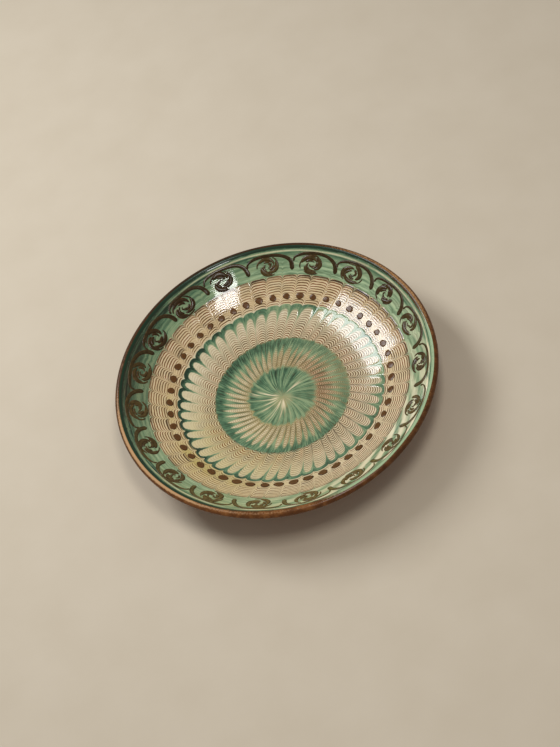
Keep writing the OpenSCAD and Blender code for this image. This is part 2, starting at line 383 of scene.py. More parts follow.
def grid_of(radius):
    """What the coats need at each of their points.

    In turn: angle, bearing in degrees, radius, and the distances from the spoke at the left, the spoke at the
    right and the nearer of the two.
    """
    angle = SPOKE_SET.angles(radius)
    left, right = SPOKE_SET.off(radius)
    return angle, np.degrees(angle), radius[:, None] + 0 * angle, left, right, np.minimum(left, right)


# ------------------------------------------------------------- colours and shader nodes


def linear(code):
    """Linear colour, with alpha 1, of an sRGB hex value."""
    parts = [int(code[i : i + 2], 16) / 255 for i in (0, 2, 4)]
    return tuple([c / 12.92 if c <= 0.04045 else ((c + 0.055) / 1.055) ** 2.4 for c in parts] + [1.0])


def shade(colour, share, towards=(0, 0, 0)):
    """A colour gone part of the way towards another one."""
    return tuple([a + (b - a) * share for a, b in zip(colour[:3], towards)] + [1.0])


def add(tree, kind, wires=None, out=0, stops=None, **settings):
    """Adds a shader node with its settings, inputs (values or links) and a ramp's stops; gives one output."""
    node = tree.nodes.new("ShaderNode" + kind)
    for key, value in settings.items():
        setattr(node, key, value)
    for key, value in (wires or {}).items():
        if isinstance(value, bpy.types.NodeSocket):
            tree.links.new(value, node.inputs[key])
        else:
            node.inputs[key].default_value = value
    if stops:
        while len(node.color_ramp.elements) < len(stops):
            node.color_ramp.elements.new(1.0)
        for element, (at, colour) in zip(node.color_ramp.elements, stops):
            element.position, element.color = at, colour
    return node.outputs[out] if node.outputs else None


def calc(tree, operation, *values, clamp=False):
    """A Math node on numbers or links."""
    return add(tree, "Math", dict(enumerate(values)), operation=operation, use_clamp=clamp)


def mix(tree, share, first, second):
    """The first colour where the share is 0 and the second where it is 1."""
    return add(tree, "Mix", {0: share, 6: first, 7: second}, 2, data_type="RGBA")


def ranged(tree, value, low, high, start=0.0, end=1.0, smooth=False):
    """A value that goes from start to end while another goes from low to high, straight or along an S."""
    way = "SMOOTHSTEP" if smooth else "LINEAR"
    return add(tree, "MapRange", {0: value, 1: low, 2: high, 3: start, 4: end}, interpolation_type=way)


def ramp(tree, value, *stops):
    """A colour ramp; each stop is its place and its colour."""
    return add(tree, "ValToRGB", {0: value}, stops=stops)


def mark(tree, name):
    """A number kept at each point of the mesh."""
    return add(tree, "Attribute", {}, 2, attribute_name=name)


def split(tree, vector):
    """The three numbers of a vector."""
    return tuple(add(tree, "SeparateXYZ", {0: vector}).node.outputs)


def noise(tree, place, scale, detail, roughness=0.5):
    """Fractal noise about 1 / scale wide at a place."""
    return add(tree, "TexNoise", {"Vector": place, "Scale": scale, "Detail": detail, "Roughness": roughness})


def drawn_noise(tree, scaled, detail=3.0, roughness=0.65):
    """Noise with a scale of its own for each number of its place, which draws it out into streaks."""
    place = {axis: calc(tree, "MULTIPLY", *pair) for axis, pair in enumerate(scaled)}
    return noise(tree, add(tree, "CombineXYZ", place), 1.0, detail, roughness)


def new_material(name):
    """An empty node material, its tree and the place on the dish in mm."""
    material = bpy.data.materials.new(name)
    material.use_nodes = True
    tree = material.node_tree
    tree.nodes.clear()
    place = add(tree, "TexCoord", out=3)
    return material, tree, add(tree, "VectorMath", {0: place, 3: 1 / MM}, operation="SCALE")


def fire(tree, colour, roughness, height, depth, ior=1.52, specular=0.5):
    """The fired surface: a Principled shader with a bump whose height, 0 to 1, stands for depth in mm."""
    relief = add(tree, "Bump", {"Height": height, "Distance": depth * MM, "Strength": 1.0})
    wires = {"Base Color": colour, "Roughness": roughness, "IOR": ior, "Specular IOR Level": specular}
    add(tree, "OutputMaterial", {"Surface": add(tree, "BsdfPrincipled", {**wires, "Normal": relief})})


def marbled_slip(name, ground, colours, line_pitch, streaks, drawn=0.0):
    """White or green-stained slip, brushed on the turning wheel, combed, feathered and clear glazed.

    The glaze is thin, glassy and slightly uneven: it shows sharp, broken reflections, and the slip under
    it is mottled, with streaks and thin dark lines wherever the comb went. The streaks run round the dish
    where drawn is 0 and along the spokes where it is 1; streaks is their dark and pale colour and strength.
    Scales: mottling of 12 mm, streaks 1.7 mm apart and some 25 mm long, specks about 1 mm across.
    """
    material, tree, mm = new_material(name)
    x, y, _ = split(tree, mm)
    panel, r, _ = split(tree, add(tree, "UVMap", uv_map="feather"))
    streak = drawn_noise(tree, ((x, 0.04), (y, 0.04), (r, 0.6)))
    bearing = calc(tree, "MULTIPLY", panel, PITCH)
    cosine, sine = calc(tree, "COSINE", bearing), calc(tree, "SINE", bearing)
    ray = drawn_noise(tree, ((cosine, 50.0), (sine, 50.0), (r, 0.07)))
    grain = add(tree, "Mix", {0: drawn, 2: streak, 3: ray})
    mottle = noise(tree, mm, 0.085, 5.0, 0.6)
    fine = noise(tree, mm, 0.9, 3.0, 0.6)
    pale_ground = shade(ground, 0.22, (1, 1, 0.9))
    colour = ramp(tree, mottle, (0.3, shade(ground, 0.22)), (0.52, ground), (0.72, pale_ground))
    brushed = ramp(tree, grain, (0.4, streaks[0]), (0.5, ground), (0.6, streaks[1]))
    colour = mix(tree, streaks[2], colour, brushed)
    for label, patchy, strength in (("amber", mottle, 0.75), ("rust", fine, 0.7)):
        patch = ranged(tree, patchy, 0.3, 0.7, 0.25, 1.0)
        spread = calc(tree, "MULTIPLY", mark(tree, label), patch, clamp=True)
        colour = mix(tree, calc(tree, "MULTIPLY", spread, strength), colour, colours[label])
    colour = mix(tree, mark(tree, "pale"), colour, colours["pale"])
    # Copper green, flowed at its borders
    ragged = calc(tree, "MULTIPLY_ADD", grain, 2.0, mark(tree, "green"))
    cover = ranged(tree, calc(tree, "MULTIPLY_ADD", mottle, 0.6, ragged), 1.52, 2.12, smooth=True)
    pool = calc(tree, "MULTIPLY_ADD", grain, -1.9, mark(tree, "deep"))
    pool = calc(tree, "ADD", calc(tree, "MULTIPLY_ADD", mottle, -0.7, pool), 1.6)
    copper = ramp(tree, pool, (0.22, colours["pale_green"]), (0.6, colours["green"]), (1.0, colours["deep"]))
    colour = mix(tree, cover, colour, copper)
    # Lines left by the comb: a triangle wave of the feathered radius, wavering a little, with a painted
    # highlight of pale slip colour halfway between the dark lines
    wave = calc(tree, "ADD", r, calc(tree, "MULTIPLY", mottle, 2.2))
    wave = calc(tree, "PINGPONG", wave, line_pitch / 2)
    wave = calc(tree, "MULTIPLY", wave, 2 / line_pitch)
    line = ranged(tree, wave, 0.44, 0.74, smooth=True)
    comb = mark(tree, "comb")
    lined = calc(tree, "MULTIPLY", comb, ranged(tree, fine, 0.32, 0.55, 0.7, 1.0), clamp=True)
    # Painted highlight: pale slip colour where the wave is low, halfway between the comb's dark lines
    crest = calc(tree, "MULTIPLY", ranged(tree, wave, 0.0, 0.34, 0.55, 0.0), lined)
    colour = mix(tree, crest, colour, colours["pale"])
    inked = mix(tree, ranged(tree, mottle, 0.42, 0.62, 0.0, 0.55), colours["line"], colours["rust"])
    colour = mix(tree, calc(tree, "MULTIPLY", line, lined), colour, inked)
    ink = calc(tree, "MULTIPLY_ADD", fine, 0.4, mark(tree, "ink"))
    colour = mix(tree, ranged(tree, ink, 0.3, 1.1), colour, colours["ink"])
    # Iron specks in the clay, about one every 9 mm, which show through the slip
    speck = add(tree, "TexVoronoi", {"Vector": mm, "Scale": 0.11}, 0)
    colour = mix(tree, ranged(tree, speck, 0.035, 0.07, 0.55, 0.0), colour, colours["ink"])
    roughness = ranged(tree, fine, 0.3, 0.75, 0.02, 0.055)
    relief = calc(tree, "MULTIPLY_ADD", streak, 0.9, calc(tree, "MULTIPLY", line, comb))
    fire(tree, colour, roughness, relief, depth=0.009, specular=0.39)
    return material


def trailed_slip(name, dark, edge, washed):
    """Dark slip trailed from a horn or a cup, domed and glossy under the same glaze.

    The stroke is near black where it is thick and browner where it thins at its edges; trail marks run along
    it, each about a fifth of its width. Where it is faded, it washed out in the middle and left its outline.
    """
    material, tree, mm = new_material(name)
    run, side, _ = split(tree, add(tree, "UVMap", uv_map="trail"))
    across = calc(tree, "ABSOLUTE", side)
    strand = drawn_noise(tree, ((run, 0.25), (side, 2.6)), detail=2.0, roughness=0.5)
    blot = noise(tree, mm, 0.3, 4.0)
    thin = calc(tree, "MULTIPLY_ADD", strand, 0.9, across)
    thin = calc(tree, "MULTIPLY_ADD", blot, 0.5, thin)
    thin = calc(tree, "MULTIPLY", thin, 0.5)
    colour = ramp(tree, thin, (0.4, shade(dark, 0.25)), (0.68, dark), (0.92, edge))
    faded = calc(tree, "MULTIPLY", mark(tree, "faded"), blot)
    faded = calc(tree, "MULTIPLY", faded, calc(tree, "SUBTRACT", 1.35, across))
    colour = mix(tree, faded, colour, washed)
    fire(tree, colour, ranged(tree, blot, 0.3, 0.7, 0.1, 0.3), strand, depth=0.04, ior=1.5, specular=0.2)
    return material


def lip_slip(name, colours):
    """Iron-brown slip wiped round the lip: dark and glossy on the outside, worn to tan clay on the crest.

    Wear follows the crest, in nicks of 2 to 6 mm. Where it is over, the rim's mint slip runs over the inner
    shoulder, and where it is green, the rim's green edge does.
    """
    material, tree, mm = new_material(name)
    blot = noise(tree, mm, 0.12, 6.0, 0.65)
    nick = noise(tree, mm, 0.55, 4.0, 0.6)
    burnt = shade(colours["lip"], 0.35)
    colour = ramp(tree, blot, (0.32, burnt), (0.5, colours["lip"]), (0.72, colours["lip_red"]))
    colour = mix(tree, mark(tree, "smoke"), colour, colours["ink"])
    wear = calc(tree, "MULTIPLY_ADD", nick, 0.9, mark(tree, "worn"))
    wear = ranged(tree, wear, 0.7, 1.2, 0.0, 0.9, smooth=True)
    colour = mix(tree, wear, colour, colours["worn"])
    mint = calc(tree, "MULTIPLY_ADD", nick, 0.3, mark(tree, "over"))
    mint = ranged(tree, mint, 0.5, 0.85, smooth=True)
    colour = mix(tree, mint, colour, shade(colours["mint"], 0.22, colours["mint_pale"]))
    line = calc(tree, "MULTIPLY_ADD", nick, 0.5, mark(tree, "green"))
    colour = mix(tree, ranged(tree, line, 0.5, 0.9, smooth=True), colour, colours["deep"])
    fire(tree, colour, ranged(tree, wear, 0.0, 1.0, 0.24, 0.5), nick, depth=0.05, ior=1.5, specular=0.22)
    return material


def fired_clay(name, colours, glazed):
    """Red earthenware, thrown and turned: matt, slightly gritty, with splashes of brown glaze near the lip.

    Grit of about 0.7 mm, turning marks 1.2 mm apart, smoke stains of 45 mm.
    """
    material, tree, mm = new_material(name)
    x, y, _ = split(tree, mm)
    r = add(tree, "VectorMath", {0: add(tree, "CombineXYZ", {0: x, 1: y})}, 1, operation="LENGTH")
    turned = drawn_noise(tree, ((x, 0.02), (y, 0.02), (r, 0.8)), roughness=0.5)
    smoke = noise(tree, mm, 0.022, 5.0)
    grit = noise(tree, mm, 1.4, 5.0, 0.7)
    smoked, plain, dusty = (colours[key] for key in ("clay_dark", "clay", "clay_pale"))
    colour = ramp(tree, smoke, (0.32, smoked), (0.52, plain), (0.72, dusty))
    colour = mix(tree, ranged(tree, turned, 0.35, 0.7, 0.0, 0.5), colour, dusty)
    colour = mix(tree, ranged(tree, grit, 0.58, 0.72, 0.0, 0.5), colour, smoked)
    roughness = MATT
    if glazed:
        run = calc(tree, "MULTIPLY_ADD", smoke, 0.8, mark(tree, "splash"))
        run = ranged(tree, run, 0.85, 1.0, smooth=True)
        colour = mix(tree, run, colour, colours["lip"])
        roughness = ranged(tree, run, 0.0, 1.0, MATT, 0.2)
    fire(tree, colour, roughness, calc(tree, "MULTIPLY_ADD", turned, 1.5, grit), depth=0.12)
    return material


def painted_board(name, ground):
    """Matt painted board: an even pale surface with a faint mottle some 60 mm across."""
    material, tree, mm = new_material(name)
    mottle = noise(tree, mm, 0.016, 4.0)
    colour = ramp(tree, mottle, (0.3, shade(ground, 0.025)), (0.7, shade(ground, 0.02, (1, 1, 1))))
    fire(tree, colour, 0.75, mottle, depth=0.02, ior=1.45, specular=0.3)
    return material


# ------------------------------------------------------------- values that a user would change


def length(label, words, size_mm, low, high):
    """A length property given in mm and kept in metres."""
    return bpy.props.FloatProperty(
        name=label, description=words, default=size_mm * MM, min=low * MM, max=high * MM,
        unit="LENGTH", subtype="DISTANCE", precision=5,
    )


def tone(label, words, code):
    """A colour property given as sRGB hex and kept as linear colour."""
    return bpy.props.FloatVectorProperty(
        name=label, description=words, default=linear(code)[:3], size=3, min=0, max=1, subtype="COLOR"
    )


class DishSizes(bpy.types.PropertyGroup):
    """Sizes of the decoration; the dish's own sizes come from the frame."""

    comb_pitch: length("Comb Pitch", "Distance between the lines of the outer combed band", 2.5, 1, 6)
    petal_pitch: length("Petal Pitch", "Distance between the ripples across the petals", 2.6, 1, 6)
    centre_pitch: length("Centre Pitch", "Distance between the ripples near the middle", 2.1, 1, 6)
    comb_drag: length("Comb Drag", "How far the tool dragged the combed lines inwards", 4, 0, 12)
    petal_drag: length("Petal Drag", "How far the tool dragged the ripples of a petal inwards", 6, 0, 20)
    tip_drag: length("Tip Drag", "How far the green of a petal's tip runs down its sides", 26, 0, 40)
    ring_drag: length("Ring Drag", "How far the green ring was dragged towards the middle", 27, 0, 35)
    groove: length("Groove Depth", "Depth of the groove that the tool left", 0.03, 0, 0.6)
    ripple: length("Ripple Height", "Height of the combed slip lines", 0.018, 0, 0.5)
    warp: length("Warp", "How far the lip strays inwards and down from a true circle", 0.7, 0, 2)
    arch_width: length("Arch Width", "Width of an arch at its thick tail", 5.5, 1, 6)
    dot_size: length("Dot Size", "Length of a trailed dot", 8.4, 3, 9)


class DishColours(bpy.types.PropertyGroup):
    """Colours of the clay, slips and glaze."""

    cream: tone("Cream", "White slip under the clear glaze", "c3a97e")
    petal: tone("Petal Cream", "White slip of the petals", "c1b392")
    middle: tone("Middle Cream", "White slip stained green near the middle", "90845b")
    # Also the colour of the painted highlight between the comb lines
    pale: tone("Pale Cream", "Thick white slip", "dccdac")
    mint: tone("Mint", "White slip stained light green", "889e7a")
    mint_dark: tone("Brushed Green", "Green streaks that the brush left in the mint slip", "55694a")
    mint_pale: tone("Pale Mint", "Pale streaks that the brush left in the mint slip", "b0c096")
    green: tone("Copper Green", "Copper green slip", "4d6d50")
    deep: tone("Deep Green", "Copper green where it pooled", "1a3020")
    pale_green: tone("Washed Green", "Copper green where it thinned", "83946e")
    line: tone("Comb Line", "Brown lines that the comb left in the cream slip", "52371b")
    dark: tone("Dark Brown", "Trailed manganese-brown slip", "291806")
    dark_edge: tone("Brown Edge", "Trailed slip where it is thin", "5e3c1b")
    amber: tone("Amber", "Yellow tint of the glaze", "ab9a3c")
    rust: tone("Rust", "Reddish stain of iron in the glaze", "8f4f2c")
    olive: tone("Olive", "Trailed slip where the glaze thinned it", "6d6034")
    lip: tone("Lip Brown", "Brown slip round the lip", "633917")
    lip_red: tone("Lip Red", "Brown slip round the lip where it is thin", "8a5a2e")
    worn: tone("Worn Lip", "Clay that shows where the lip is worn", "ac8355")
    clay: tone("Clay", "Fired red earthenware", "a5694a")
    clay_dark: tone("Smoked Clay", "Earthenware darkened in the kiln", "7c4b35")
    clay_pale: tone("Pale Clay", "Dusty earthenware", "c08a68")
    floor: tone("Floor", "Plain pale floor", "bdb09c")


def sizes():
    """The decoration's sizes in mm, by name."""
    group = bpy.context.scene.dish_sizes
    return {key: getattr(group, key) / MM for key in DishSizes.__annotations__}


def colours():
    """The colours, with alpha, by name; ink is the dark brown."""
    group = bpy.context.scene.dish_colours
    found = {key: tuple(getattr(group, key)) + (1.0,) for key in DishColours.__annotations__}
    found["ink"] = found["dark"]
    return found


# ------------------------------------------------------------- pieces


def copper_band(deg):
    """How dark and thick the copper green is at a bearing: it pooled on one side of the dish."""
    return 0.35 + patches(deg, (0.65, 150, 62), (0.25, 95, 30))


def amber_patch(deg):
    """How yellow the glaze is at a bearing."""
    return patches(deg, (0.9, 234, 48), (0.5, 190, 25))


def tip_edge(t, deg):
    """Outer radius of the petals' green tips: scallops that sag with the cube of t, the way to a spoke."""
    sag = 2.2 + 1.2 * near(deg, 180, 60)
    return PETAL_R + 0.5 + patches(deg, (2.9, 252, 72), (-1.2, 112, 35)) - sag * t**3


def ring_cover(r, angle):
    """How far the green ring reaches outwards: a soft, slightly ragged circle."""
    edge = GREEN_R + 2.2 * near(np.degrees(angle), 260, 75) + 0.9 * wander(angle, 9, 50, 12)
    return 1 - ease(r, edge - 3.2, edge + 3.2)


def rays(seed, cols, widths):
    """Random strengths from column to column, smoothed over each width and brought to a spread of 1."""
    rng = np.random.default_rng(seed)
    found = []
    for width in widths:
        window = np.hanning(width) / np.hanning(width).sum()
        ray = np.convolve(np.tile(rng.uniform(0, 1, cols), 3), window, "same")[cols : 2 * cols]
        found.append((ray - ray.mean()) / ray.std())
    return found


class DISH_OT_body(bpy.types.Operator):
    """Make the thrown body: the hollow, the round lip and the turned underside of bare clay"""

    bl_idname = "dish.body"
    bl_label = "Thrown Body"

    def execute(self, context):
        """The section runs from the middle of the hollow, round the lip and back under to the middle.

        The hollow and the underside are polynomials of the radius and the lip is an arc. Throwing rings,
        a cosine of the radius 6.5 mm apart outside the foot and 5 mm inside it, only take clay away.
        """
        start, cols, sink = 0.6, 240, 0.05
        inner = np.linspace(start, HOLLOW_R, 40)
        hollow_r, hollow_z = lay(inner, -sink)
        turn = np.linspace(math.pi / 2 + LIP_SLOPE, -math.radians(50), 30)[1:]
        lip_r, lip_z = NOSE[0] + NOSE_R * np.cos(turn), NOSE[1] + NOSE_R * np.sin(turn)
        outside = np.linspace(lip_r[-1], start, 210)[1:]
        outer_rings, foot_rings = (0.5 - 0.5 * np.cos(TURN * outside / pitch) for pitch in (6.5, 5))
        cut = 0.4 * outer_rings * gate(outside, FOOT_OUT + 3, FOOT_OUT + 14, 150, lip_r[-1])
        cut = cut + 0.25 * foot_rings * (1 - ease(outside, 50, FOOT_IN - 4))
        section_r = np.concatenate([hollow_r, lip_r, outside])
        section_z = np.concatenate([hollow_z, lip_z, np.polyval(UNDER, outside) + cut])
        angle = round_dish(len(section_r), cols)
        points = around(section_r[:, None], section_z[:, None], angle)
        splash = ease(section_r, 120, 173)[:, None] * (0.75 + 0.25 * wander(angle, 21, 7))
        splash[: len(inner)] = 1
        shell(
            "thrown_body", points[None], {"OFBake": sheet_uv(len(section_r), cols)},
            {"splash": splash[None]}, fired_clay("Thrown red earthenware", colours(), True),
            ["clay_body"], poles=True,
        )
        return {"FINISHED"}


class DISH_OT_foot(bpy.types.Operator):
    """Make the turned foot ring"""

    bl_idname = "dish.foot"
    bl_label = "Foot Ring"

    def execute(self, context):
        """The section is a rounded rectangle: a box whose corners are arcs of 1.2 mm."""
        corner, points_round, cols = 1.2, 44, 200
        top = float(np.polyval(UNDER, FOOT_OUT)) + 0.25
        middle, half, tall = (FOOT_IN + FOOT_OUT) / 2, (FOOT_OUT - FOOT_IN) / 2, top / 2
        t = np.linspace(0, TURN, points_round, endpoint=False) + TURN / points_round / 2
        across = np.sign(np.cos(t)) * (half - corner) + corner * np.cos(t)
        up = np.sign(np.sin(t)) * (tall - corner) + corner * np.sin(t)
        r, z = (middle - across)[:, None], (tall + up)[:, None]
        angle = round_dish(points_round, cols)
        dent = 0.18 * (0.5 + 0.5 * wander(angle, 5, 9, 3)) * bump(z - top, 8)
        shell(
            "turned_foot", around(r + 0 * angle, z + dent * (z > 0.5), angle)[None],
            {"OFBake": sheet_uv(points_round + 1, cols)}, {},
            fired_clay("Turned red earthenware", colours(), False), ["foot_ring"],
        )
        return {"FINISHED"}


class DISH_OT_lip(bpy.types.Operator):
    """Make the brown slip that was wiped round the lip"""

    bl_idname = "dish.lip"
    bl_label = "Lip Slip"

    def execute(self, context):
        """A coat that follows the hollow's last few mm and then the lip's arc, down to a wavering lower edge.

        Its thickness fades with the twelfth power of the way down, so that it ends in a thin line. The marks
        say how worn and smoked the slip is, how green its inner edge is and where the rim's slip runs over it.
        """
        cols, hidden = 900, 14
        flat = np.array([RIM_R, RIM_R + EDGE, (RIM_R + HOLLOW_R) / 2])
        way = np.linspace(0, 1, 44)[:, None]
        faces = len(flat) + len(way)
        rows = faces + hidden
        angle = round_dish(rows, cols)
        theta = angle[:1]
        deg, deg_round = np.degrees(angle), np.degrees(theta)
        end = -math.radians(38) + math.radians(5) * np.clip(wander(theta, 3, 14, 4), -1.4, 0.8)
        start = math.pi / 2 + LIP_SLOPE
        turn = start + (end - start) * way
        nick = 0.3 * np.clip(wander(theta, 31, 40, 20) - 0.9, 0, 1) * bump(turn - math.pi / 2, 0.7)
        thick = np.minimum(COAT_T * (1 - way**12) - nick + GAP, COAT_T)
        back_turn = start + (end - start) * np.linspace(1, 0, hidden)[1:, None]
        all_turn = np.concatenate([turn, back_turn])
        off = NOSE_R + np.concatenate([thick, GAP + 0 * back_turn])
        face_r, face_z = lay(flat[:, None] + 0 * theta, COAT_T)
        under_r, under_z = lay(RIM_R + 0 * theta, GAP)
        section_r = np.concatenate([face_r, NOSE[0] + off * np.cos(all_turn), under_r])
        section_z = np.concatenate([face_z, NOSE[1] + off * np.sin(all_turn), under_z])
        inner, crest, over = (np.zeros((rows, cols)) for _ in range(3))
        inner[: len(flat)] = over[: len(flat)] = 1
        nose = slice(len(flat), faces)
        inner[nose] = ease(np.degrees(turn) + 4 * wander(theta, 12, 9, 3), 98, 110)
        crest[nose] = bump(turn - math.radians(84), 0.85)
        stop = 95 - 12 * near(deg_round, 285, 40)
        over[nose] = ease(np.degrees(turn) + 5 * wander(theta, 19, 16, 5) - stop, 0, 9)
        far = near(deg, 100, 72)
        worn = 0.2 - 0.17 * far + patches(deg, (0.85, 200, 36), (0.46, 24, 30), (0.14, 270, 40))
        marks = {
            "worn": crest * (worn + 0.12 * wander(angle, 77, 9)),
            "over": over * np.clip(1.35 * near(deg, 318, 44), 0, 1),
            "green": inner * (0.25 + 0.75 * np.clip(far + near(deg, 200, 35), 0, 1)),
            "smoke": np.clip(0.95 * far + patches(deg, (0.3, 190, 30), (0.5, 312, 40)), 0, 0.95),
        }
        shell(
            "lip_slip", around(section_r, section_z, angle)[None],
            {"OFBake": sheet_uv(rows + 1, cols, two_sides(faces, hidden))},
            {label: values[None] for label, values in marks.items()},
            lip_slip("Brown lip slip under lead glaze", colours()), ["lip_band"],
        )
        return {"FINISHED"}


class DISH_OT_rim(bpy.types.Operator):
    """Make the mint-green slip of the rim and its two green stripes"""

    bl_idname = "dish.rim"
    bl_label = "Rim Slip"

    def execute(self, context):
        """A coat whose lift is brush ridges, a wavering cosine of the radius, and the two stripes."""
        tints = colours()
        radius = edged(COMB_R, RIM_R)
        angle, deg, r, *_ = grid_of(radius)
        sway = 0.35 * wander(angle, 8, 6)
        stripe_tall, stripe_half, ridge_tall, ridge_pitch = 0.15, 0.55, 0.04, 1.7
        rise = stripe_tall * sum(bump(r - (RIM_R - inset), stripe_half) for inset in (0.7, 1.8))
        ridge = ridge_tall * np.cos(TURN * (r + sway) / ridge_pitch) * bump(r - (COMB_R + RIM_R) / 2, 13)
        # Painted shade, partly darker slip, on the rim's side round bearing 142: it thickens and deepens the
        # green, darkens the stripes and dims the pale line
        shade_and_dark_slip = near(deg, 142, 60)
        broken = 0.5 + 0.5 * wander(angle, 15, 20, 6)
        outer = ease(r, RIM_R - 1.1, RIM_R - 0.3)
        lines = (
            (0.45 + 0.5 * shade_and_dark_slip) * bump(r - (RIM_R - 4.2) + sway * 0.6, 1.3) * (0.55 + 0.45 * broken)
            + (0.25 + 0.5 * shade_and_dark_slip) * broken * bump(r - (RIM_R - 6.4) + sway, 1.3)
        )
        up = ease(r, COMB_R + 2, RIM_R - 2)
        bands = 0.16 * np.sin(TURN * (r + 1.2 * wander(angle, 35, 12, 4)) / 4.6)
        light = bump(r - (RIM_R - 2.5) + sway * 0.5, 1.1)
        # On the front the brushed slip is broken up into patches of green and pale
        mottle = np.clip(0.5 + 0.8 * wander(angle + 0.02 * r, 71, 12, 18), 0, 1)
        front = near(deg, 300, 56)
        green = 0.3 + outer + lines + shade_and_dark_slip * (0.35 + 0.3 * up) + bands + 0.2 * near(deg, 40, 50) * up
        tint = 0.4 * amber_patch(deg) + 0.2 * near(deg, 265, 60) * (1 + wander(angle, 61, 14, 5))
        pale = 0.7 * light * (1 - 0.5 * shade_and_dark_slip) + 0.5 * near(deg, 305, 45)
        # Darker brown round bearing 161 and towards the lip round 140 and 45; round 140 to 161 it is partly
        # painted shade, partly darker slip
        smoke = 0.38 * near(deg, 161, 28) + patches(deg, (0.25, 140, 50), (0.22, 45, 45)) * ease(r, 153, 162)
        coat_piece(
            "rim_slip", radius, rise + ridge, r + SPOKE_SET.drag(radius, 1.5, 1.2),
            marbled_slip("Mint slip, brushed, clear glazed", tints["mint"], tints, 3.0,
                         (tints["mint_dark"], tints["mint_pale"], 0.8)),
            ["rim_ground", "rim_stripes"], "mint_green", grooved=0.0,
            green=green - 0.8 * light * near(deg, 82, 36) + 0.8 * front * (0.5 - mottle),
            deep=0.15 + 0.3 * shade_and_dark_slip * up + 0.5 * np.clip(lines, 0, 1) + (0.3 + 0.3 * shade_and_dark_slip) * outer,
            amber=tint * (0.3 + 0.7 * up) + 0.45 * light + 0.3 * near(deg, 280, 45) * mottle,
            pale=pale + 0.6 * front * (mottle - 0.4),
            ink=smoke,
        )
        return {"FINISHED"}


class DISH_OT_comb(bpy.types.Operator):
    """Make the band of cream slip that was combed in rings and feathered"""

    bl_idname = "dish.comb"
    bl_label = "Combed Band"

    def execute(self, context):
        """A coat whose rings, a cosine of the feathered radius, were dragged inwards along 49 grooves.

        The feathered radius is the radius plus a sharp exponential of the distance from the groove.
        """
        size, tints = sizes(), colours()
        radius = edged(PETAL_R, COMB_R)
        angle, deg, r, left, right, side = grid_of(radius)
        feathered = r + SPOKE_SET.drag(radius, size["comb_drag"], 1.1) + 0.35 * wander(angle, 4, 8)
        wave = np.cos(TURN * feathered / size["comb_pitch"])
        inside = gate(r, PETAL_R, PETAL_R + 1, COMB_R - 1, COMB_R)
        border = COMB_R - 1.2
        # Half the plain ring that the dots leave round them in the combing
        dots_ring = 5.5
        rings = size["ripple"] * 0.5 * (1 + wave) * (1 - 0.5 * near(deg, 262, 35))
        rise = (rings + 0.08 * bump(feathered - border, 1.1)) * inside
        strong = patches(deg, (0.5, 105, 100), (0.5, 20, 50))
        panel = SPOKE_SET.each(6, 0.7, 1.2)
        inner_line = patches(feathered, (1, PETAL_R + 4.4, 0.6), (1, PETAL_R + 1.8, 0.6))
        beside = near(feathered, DOT_R + 5.4, 0.7) * ease(panel + 0 * r, 0.8, 1.1)
        seam = near(side, 0, 0.4) * ease(r, DOT_R + 4, COMB_R - 4)
        top = ease(feathered + 0.4 * wander(angle, 14, 30, 10), COMB_R - 0.5, COMB_R + 0.8) * 0.8
        outer = tip_edge(1 - 2 * side / (left + right), deg)
        tips = 1 - ease(r, outer - 0.6, outer + 0.6)
        plain = 1 - 0.8 * bump(r - DOT_R, dots_ring)
        combed = 1.2 + patches(deg, (-0.45, 240, 40), (0.6, 308, 45))
        tint = 0.85 * amber_patch(deg) + 0.85 * near(r, DOT_R, 7) * near(deg, 212, 50)
        coat_piece(
            "combed_band", radius, rise, feathered,
            marbled_slip("Cream slip, combed, clear glazed", tints["cream"], tints, size["comb_pitch"],
                         (shade(tints["cream"], 0.22), tints["pale"], 0.35)),
            ["comb_ground", "comb_lines", "comb_border"], "cream",
            green=np.maximum(top, tips),
            deep=0.05 + (0.2 + 0.45 * copper_band(deg)) * tips,
            amber=tint * (0.7 + 0.5 * wander(angle, 52, 9, 2)).clip(0, 1.3),
            rust=0.22 * ease(wander(angle, 41, 12, 3), 0.5, 1.3)
            + 0.3 * near(feathered, border - 2.5, 2.5) * strong
            + 0.3 * near(r, DOT_R, 4.5) * near(side, (left + right) / 2, 4.5) * near(deg, 215, 55),
            comb=combed * ease(side, 0.1, 0.7) * panel * plain * (1 - tips),
            pale=0.4 * near(deg, 290, 60),
            ink=1.1 * near(feathered, border, 0.9) * (0.35 + 0.65 * strong) * panel
            + 0.4 * inner_line * (0.4 + 0.6 * strong) + 0.85 * beside * (0.3 + 0.7 * near(deg, 180, 70))
            + 0.12 * seam + 0.2 * near(r, DOT_R, dots_ring) * near(deg, 224, 46),
        )
        return {"FINISHED"}


